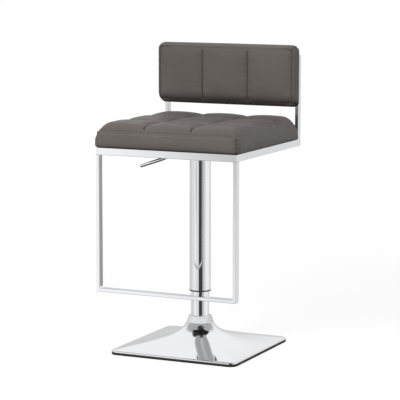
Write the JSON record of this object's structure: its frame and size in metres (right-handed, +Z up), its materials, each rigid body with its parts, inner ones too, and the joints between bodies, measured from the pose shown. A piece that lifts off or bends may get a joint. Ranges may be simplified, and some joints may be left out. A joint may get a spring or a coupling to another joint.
{
  "type": "adjustable bar stool",
  "caption": "Adjustable bar stool: square trumpet base, gas-lift column with swivel, flat-tube frame with footrest loop, tufted seat and low channelled back.",
  "frame": {"origin": "on the floor under the column's axis, with the seat right down", "axes": "+Z up, the stool faces -Y, +X to the sitter's left"},
  "size_m": [0.436, 0.4575, 0.85],
  "materials": {
    "chrome": "polished",
    "cast_iron": "painted, rough cast",
    "rubber": "matte",
    "plastic": "moulded, satin",
    "steel": "zinc plated",
    "brass": "turned",
    "black_steel": "satin black",
    "plywood": "dark-stained plywood",
    "leatherette": "fine-grained leatherette, soft sheen"
  },
  "bodies": {
    "base": {"base_cover": "chrome", "base_weight": "cast_iron", "base_edge_seal": "rubber", "column_flange": "steel", "flange_bolts": "steel", "flange_washers": "steel", "lower_tube": "chrome", "collar_ring": "chrome", "guide_bush": "plastic", "rod_seat": "steel", "bearing_lower_race": "steel", "bearing_cage": "brass", "bearing_balls": "steel"},
    "piston": {"bearing_upper_race": "steel", "piston_rod": "steel", "piston": "steel", "piston_seal": "rubber", "rod_washer": "steel", "rod_clip": "steel", "rod_buffer": "rubber"},
    "seat": {"gas_cylinder": "black_steel", "cylinder_guide": "brass", "valve_body": "brass", "cover_tube": "chrome", "cover_tube_ring": "plastic", "cover_tube_cap": "plastic", "taper_socket": "black_steel", "mounting_plate": "black_steel", "plate_bolts": "steel", "plate_washers": "steel", "lever_pin": "steel", "seat_rail_left": "black_steel", "seat_rail_right": "black_steel", "frame_front_beam": "chrome", "frame_rear_beam": "chrome", "frame_side_beam_left": "chrome", "frame_side_beam_right": "chrome", "frame_tabs": "chrome", "footrest_leg_left": "chrome", "footrest_leg_right": "chrome", "footrest_bar": "chrome", "upright_left": "chrome", "upright_right": "chrome", "upright_tabs": "chrome", "upright_caps": "chrome", "seat_board": "plywood", "board_screws": "steel", "seat_cushion": "leatherette", "back_board": "plywood", "back_panel": "leatherette", "back_cushion": "leatherette", "back_screws": "steel"},
    "lever": {"lever_rod": "chrome", "lever_grip": "chrome"},
    "button": {"valve_button": "steel"}
  },
  "joints": [
    {"name": "seat_swivel", "type": "hinge", "parent": "base", "child": "piston", "pos_m": [0, 0, 0.04], "axis": [0, 0, 1], "continuous": true},
    {"name": "seat_height", "type": "slide", "parent": "piston", "child": "seat", "axis": [0, 0, 1], "range_m": [0, 0.21]},
    {"name": "lever_lift", "type": "hinge", "parent": "seat", "child": "lever", "pos_m": [-0.03, 0, 0.5695], "axis": [0, 1, 0], "range_deg": [0, 6], "stiffness_Nm_per_rad": 1, "springref_deg": -5.73},
    {"name": "button_press", "type": "slide", "parent": "seat", "child": "button", "axis": [0, 0, -1], "range_m": [0, 0.0037]}
  ],
  "couplings": [
    {"joint": "button_press", "follows": "lever_lift", "m_per_rad": 0.0353}
  ]
}
